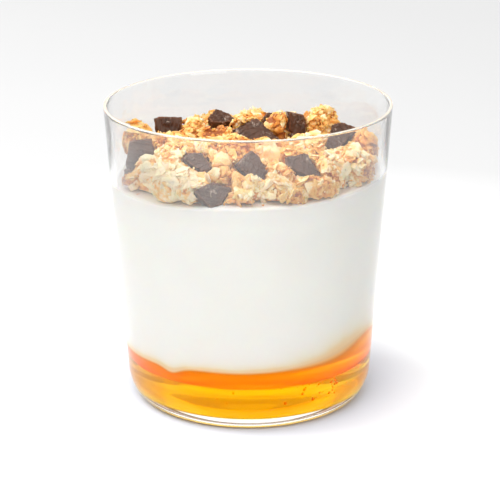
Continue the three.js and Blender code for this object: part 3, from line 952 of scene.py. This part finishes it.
def make_core(oats):
    """The heap's own core: the CAD heap remeshed, sunk a little and given a crumbly relief."""
    vertices, triangles = node_vertices("granola")
    piece = mesh_object("granola_core", vertices, triangles, oats)
    mesh = remesh(piece, CORE_VOXEL, 4)
    normals = [vertex.normal.copy() for vertex in mesh.vertices]
    tones = []
    for vertex, normal in zip(mesh.vertices, normals):
        place = vertex.co / MM
        clumps = noise.fractal(place * 0.4, 0.8, 2.1, 3)
        distances, centres = noise.voronoi(place / GRAIN_WIDTH)
        grain = 0.5 - distances[0]
        lift = CORE_RELIEF * clumps + GRAIN_HEIGHT * grain - CORE_SINK
        if place.z < YOGURT_HEIGHT + EDGE_BAND:
            lift = min(lift, 0)
        vertex.co = vertex.co + normal * lift * MM
        own = noise.cell(centres[0] * 7.1)
        # painted shade and light: darker where the relief sinks, paler where it rises
        tone = cluster_tone(place) + DEPTH_SHADING * (lift - EVEN_HEIGHT)
        # painted shade between the grains
        tones.append(tone + OWN_RANGE * (own - 0.5) + PIT_SHADE * min(grain - 0.05, 0))
    add_values(mesh, "tone", tones)
    mesh.polygons.foreach_set("use_smooth", [True] * len(mesh.polygons))
    mesh.update()
    finish_piece(piece, "granola", "granola")


SPIN_SPREAD = 0.6  # how much things turn away from the run of their cluster, in radians
LOW, HIGH = -0.35, 0.25  # where the middle of a thing lies, from under to above the solid's face
OWN_TONE, TONE_SPREAD = 0.02, 0.13


def scatter(rng, surface, count, batch, make_shape, clearance, tilt, sink):
    """Places things on the heap, clear of the chocolate and of the glass."""
    for _ in range(count):
        point, normal = random_spot(rng, *surface)
        corners, faces, half = make_shape(rng)
        lean = Quaternion((rng.gauss(0, 1), rng.gauss(0, 1), 0), math.radians(rng.uniform(0, tilt)))
        flat = UP.rotation_difference(normal)
        spin = Quaternion(UP, lump_grain(point) + rng.gauss(0, SPIN_SPREAD))
        turned = flat @ lean @ spin
        lift = rng.uniform(LOW, HIGH - sink * half)
        point = keep_in_glass(point + normal * lift, half * 0.5)
        if chunk_tree.find_nearest(point)[3] < half * 0.5 + clearance:
            continue
        placed = [turned @ corner + point for corner in corners]
        if not inside_glass(placed) or hides_chocolate(placed[::2]):
            continue
        own = cluster_tone(point) + rng.gauss(OWN_TONE, TONE_SPREAD)
        # painted shade and light: each corner darker the deeper it lies in the heap
        batch.add(placed, faces, [own + depth_shading(corner) for corner in placed])


FLAKE_LENGTHS, FLAKE_WIDTHS, FLAKE_THICKNESSES = (3.6, 7), (0.5, 0.75), (0.6, 0.9)
SHARD_LENGTHS, SHARD_WIDTHS, SHARD_THICKNESSES = (1.8, 3.6), (0.45, 0.8), (0.6, 1)


def flake(rng):
    """A whole rolled oat. Widths are shares of its length."""
    length = rng.uniform(*FLAKE_LENGTHS)
    width = length * rng.uniform(*FLAKE_WIDTHS)
    thickness = rng.uniform(*FLAKE_THICKNESSES)
    corners, faces = flake_shape(rng, length, width, thickness, FLAKE_SIDES, FLAKE_RINGS)
    return corners, faces, length / 2


def shard(rng):
    """A broken piece of a rolled oat."""
    length = rng.uniform(*SHARD_LENGTHS)
    width = length * rng.uniform(*SHARD_WIDTHS)
    thickness = rng.uniform(*SHARD_THICKNESSES)
    corners, faces = flake_shape(rng, length, width, thickness, SHARD_SIDES, SHARD_RINGS)
    return corners, faces, length / 2


def grain_of(sizes, ball, lumpy):
    """A maker of grains with half widths from a list."""

    def grain(rng):
        width = rng.choice(sizes)
        size = (width, width * rng.uniform(0.6, 1), width * rng.uniform(0.5, 0.85))
        corners, faces = crumb_shape(rng, size, ball, lumpy)
        return corners, faces, width

    return grain


def make_granola(rng):
    oats = oat_material("toasted_oats", OAT_STOPS, 0.08, 0.55)
    make_core(oats)
    surface = heap_surface()
    coarse = grain_of(COARSE_WIDTHS, ball_shape(2), COARSE_LUMPS)
    fine = grain_of(FINE_WIDTHS, ball_shape(1), FINE_LUMPS)
    kinds = [  # name, how many, shape, gap to the chocolate, most tilt in degrees, share sunk in
        ("oat_flakes", FLAKES, flake, 0.2, 38, 0),
        ("oat_shards", SHARDS, shard, 0.1, 60, 0),
        ("oat_grains", GRAINS, coarse, 0.1, 60, 0.35),
        ("oat_crumbs", CRUMBS, fine, 0.1, 40, 0),
    ]
    for name, count, shape, clearance, tilt, sink in kinds:
        batch = Batch()
        scatter(rng, surface, count, batch, shape, clearance, tilt, sink)
        if name == "oat_crumbs":
            drop_loose_crumbs(rng, batch, fine)
        finish_piece(batch.make(name, oats), "granola")


CRUMB_INSETS = (1.2, 8)  # how far from the wall loose crumbs lie
HEAP_GAP = 0.6  # between them and the heap


def drop_loose_crumbs(rng, batch, fine):
    """Single crumbs on the bare yogurt between the heap and the wall."""
    for _ in range(LOOSE_CRUMBS):
        turn = rng.uniform(-math.pi, math.pi)
        corners, faces, half = fine(rng)
        radius, height = yogurt_top(rng.uniform(*CRUMB_INSETS))(turn)
        point = Vector(at_turn(turn, radius, height + half * 0.4))
        under_heap = heap_tree.ray_cast(point + GLASS_HEIGHT * UP, -UP)[0]
        if under_heap or heap_tree.find_nearest(point)[3] < HEAP_GAP:
            continue
        batch.add([corner + point for corner in corners], faces, rng.uniform(0.2, 0.7))


NUTS = [  # name of the shape, place on the heap, half sizes, tone
    ("lump", (-7.3, -22.3, 80.4), (2.7, 2.4, 2.3), 0.55),
    ("lump", (6.7, -13.2, 78.9), (3.3, 2.8, 4.2), 0.6),
    ("lump", (8.6, 14.6, 82.0), (2.8, 2.2, 2.3), 0.25),
    ("diced", (27.0, -21.1, 79.3), (1.6, 1.6, 2.0), 0.7),
    ("diced", (29.6, -20.1, 82.0), (1.7, 1.5, 1.5), 0.65),
    ("diced", (6.4, -37.4, 74.9), (1.5, 1.3, 1.2), 0.95),
]
DICED_SQUARENESS = 0.42  # 1 is a ball, and a small number is a box
NUT_LUMPS = {"lump": 0.3, "diced": 0.12}
NUT_SINK = 0.35  # as a share of its least half size


def make_nuts(rng):
    """Pieces of nut at the places where they show, a little sunk in the heap."""
    ball = ball_shape(4)
    batch = Batch()
    for shape, place, size, tone in NUTS:
        point, normal, _, _ = heap_tree.find_nearest(Vector(place))
        corners, faces = crumb_shape(rng, size, ball, NUT_LUMPS[shape])
        if shape == "diced":
            corners = [
                Vector(
                    math.copysign(abs(side / half) ** DICED_SQUARENESS * half * 0.8, side)
                    for side, half in zip(corner, size)
                )
                for corner in corners
            ]
        turned = Quaternion((rng.gauss(0, 1), rng.gauss(0, 1), rng.gauss(0, 1)), rng.uniform(0, 0.6))
        point = keep_in_glass(point - normal * min(size) * NUT_SINK, max(size))
        placed = [turned @ corner + point for corner in corners]
        # painted light: each nut is paler towards its top
        tones = [tone + 0.08 * (corner.z - point.z) for corner in placed]
        batch.add(placed, faces, tones)
    nuts = oat_material("toasted_nuts", NUT_STOPS, 0.3, 0.4)
    finish_piece(batch.make("nut_pieces", nuts), "granola")


# ---- Chocolate -------------------------------------------------------------------------------

CHUNK_VOXEL = 0.22  # the side of a chunk's small squares
RIDGES = 0.24  # height of the ridges that breaking leaves
DENTS = 0.2  # depth of the broad hollows
CHIPS = 0.35  # how far the sharp edges are nibbled away
PALE_EDGE_WIDTH = 0.4  # of the paler line along an edge
ALONG = 0.75  # how much longer a ridge is than wide: 0 is round, and 1 has no end
RIDGE_FREQUENCY, DENT_FREQUENCY, CHIP_FREQUENCY = 0.8, 0.35, 1.3  # per millimetre
SHARP_EDGE = math.radians(25)  # the least angle of an edge that is paler and chipped
EDGE_STEP = 0.08  # between the points that stand for an edge


def tree_of_edges(vertices, triangles):
    """A search tree of points along the sharp edges."""
    body = bmesh.new()
    corners = [body.verts.new(corner) for corner in vertices]
    for triangle in triangles:
        body.faces.new([corners[corner] for corner in triangle])
    bmesh.ops.remove_doubles(body, verts=body.verts, dist=0.01)
    points = []
    for edge in body.edges:
        if edge.calc_face_angle(0) > SHARP_EDGE:
            start, end = (vertex.co for vertex in edge.verts)
            steps = max(1, math.ceil(edge.calc_length() / EDGE_STEP))
            points += [start.lerp(end, step / steps) for step in range(steps + 1)]
    body.free()
    tree = KDTree(len(points))
    for index, point in enumerate(points):
        tree.insert(point, index)
    tree.balance()
    return tree


def refine_chunk(name, index, chocolate):
    """A chunk with softened edges, ridges where it broke, dents, and how near each corner is to a
    sharp edge.
    """
    vertices, triangles = node_vertices(name)
    edge_tree = tree_of_edges(vertices, triangles)
    piece = mesh_object("rough_chunk", vertices, triangles, chocolate)
    mesh = remesh(piece, CHUNK_VOXEL, 1)
    places = [vertex.co / MM for vertex in mesh.vertices]
    normals = [vertex.normal.copy() for vertex in mesh.vertices]
    faces = [list(face.vertices) for face in mesh.polygons]
    bpy.data.objects.remove(piece)
    middle = sum(places, Vector()) / len(places)
    turn = index * 2.4
    along = Vector((math.sin(turn), 0.3 * math.cos(index), math.cos(turn))).normalized()
    phase = Vector((index * 7.3, index * 3.1, index * 5.9))
    corners, edge_paleness = [], []
    for corner, normal in zip(places, normals):
        place = corner - middle
        edge_nearness = max(0, 1 - edge_tree.find(corner)[2] / PALE_EDGE_WIDTH)
        across = place - along * place.dot(along) * ALONG
        ridge = 1 - abs(noise.noise(across * RIDGE_FREQUENCY + phase)) * 4
        dent = min(0, noise.fractal(place * DENT_FREQUENCY + phase, 0.9, 2.2, 3) + 0.1)
        chip = edge_nearness * min(0, noise.noise(place * CHIP_FREQUENCY + phase) - 0.1)
        move = RIDGES * (min(max(ridge, 0), 1) - 1) + DENTS * dent + CHIPS * chip
        corners.append(corner + normal * move)
        edge_paleness.append(edge_nearness)
    return corners, faces, edge_paleness


def make_chocolate():
    batch = Batch()
    chocolate = chocolate_material()
    for index, name in enumerate(CHUNKS):
        batch.add(*refine_chunk(name, index, chocolate))
    piece = batch.make("chocolate_chunks", chocolate)
    finish_piece(piece, "chocolate", *CHUNKS)


# ---- Stage -----------------------------------------------------------------------------------


FLOOR_SIZE, FLOOR_CELLS = 4000, 24
FLOOR_DROP = 0.05  # the floor lies a hair under the foot


def make_floor():
    vertices, faces = [], []
    for row in range(FLOOR_CELLS + 1):
        for column in range(FLOOR_CELLS + 1):
            x = FLOOR_SIZE * (column / FLOOR_CELLS - 0.5)
            y = FLOOR_SIZE * (row / FLOOR_CELLS - 0.5)
            vertices.append((x, y, -FLOOR_DROP))
    for row in range(FLOOR_CELLS):
        for column in range(FLOOR_CELLS):
            near = row * (FLOOR_CELLS + 1) + column
            far = near + FLOOR_CELLS + 1
            faces.append((near, near + 1, far + 1, far))
    mesh_object("floor", vertices, faces, floor_material())


WORLD_STRENGTH = 0.93
GLASS_MIDDLE = (0, 0, 0.05)
LAMPS = [  # name, place and target in metres, size in metres, power in watts
    ("overhead", (-0.16, -0.06, 0.62), GLASS_MIDDLE, 0.34, 0.9),
    ("left", (-0.9, 0.15, 0.95), GLASS_MIDDLE, 0.8, 8.0),
    ("right", (0.75, -1.1, 0.55), GLASS_MIDDLE, 0.8, 3.5),
    ("front", (-0.05, -0.24, 0.22), (-0.05, -0.239, 0), 0.2, 0.47),
    ("back", (0, 1.6, 0.9), GLASS_MIDDLE, 2.2, 4.3),
]


def make_lights():
    """Soft square lamps in an evenly white room."""
    scene = bpy.context.scene
    scene.world = bpy.data.worlds.new("studio")
    scene.world.use_nodes = True
    background = scene.world.node_tree.nodes["Background"]
    background.inputs["Color"].default_value = (1, 1, 1, 1)
    background.inputs["Strength"].default_value = WORLD_STRENGTH
    for name, place, target, size, power in LAMPS:
        light = bpy.data.lights.new(name, "AREA")
        light.shape = "SQUARE"
        light.size = size
        light.energy = power
        holder = bpy.data.objects.new(name, light)
        holder.location = place
        holder.rotation_euler = (Vector(target) - Vector(place)).to_track_quat("-Z", "Y").to_euler()
        scene.collection.objects.link(holder)


CAMERA_ELEVATION = 18.995  # degrees above the floor, fitted to the photo like what follows
CAMERA_DISTANCE = 586.41
CAMERA_ROLL = 0.272
CAMERA_LENS = 135.2
AIM_HEIGHT = 45
IMAGE = 500  # the side of the square picture in pixels
IMAGE_CENTRE = (248.715, 251.283)  # the pixel where the camera's axis meets the picture


def make_camera():
    camera = bpy.data.cameras.new("camera")
    camera.sensor_width = 36
    camera.lens = CAMERA_LENS
    camera.shift_x = (IMAGE / 2 - IMAGE_CENTRE[0]) / IMAGE
    camera.shift_y = (IMAGE_CENTRE[1] - IMAGE / 2) / IMAGE
    camera.clip_start = 0.01
    elevation = math.radians(CAMERA_ELEVATION)
    ahead = Vector((0, math.cos(elevation), -math.sin(elevation)))
    holder = bpy.data.objects.new("camera", camera)
    holder.location = (Vector((0, 0, AIM_HEIGHT)) - ahead * CAMERA_DISTANCE) * MM
    roll = Quaternion(ahead, math.radians(CAMERA_ROLL))
    holder.rotation_euler = (roll @ ahead.to_track_quat("-Z", "Y")).to_euler()
    bpy.context.scene.collection.objects.link(holder)
    bpy.context.scene.camera = holder


def set_up_render():
    scene = bpy.context.scene
    scene.view_settings.view_transform = "Standard"
    scene.cycles.max_bounces = 40
    scene.cycles.diffuse_bounces = 6
    scene.cycles.glossy_bounces = 32
    scene.cycles.transmission_bounces = 32
    scene.cycles.use_denoising = True


make_camera()
set_up_render()
make_lights()
make_floor()
make_glass()
make_honey()
make_yogurt()
make_bubbles(random.Random(SEED))
make_granola(random.Random(SEED + 1))
make_nuts(random.Random(SEED + 2))
make_chocolate()
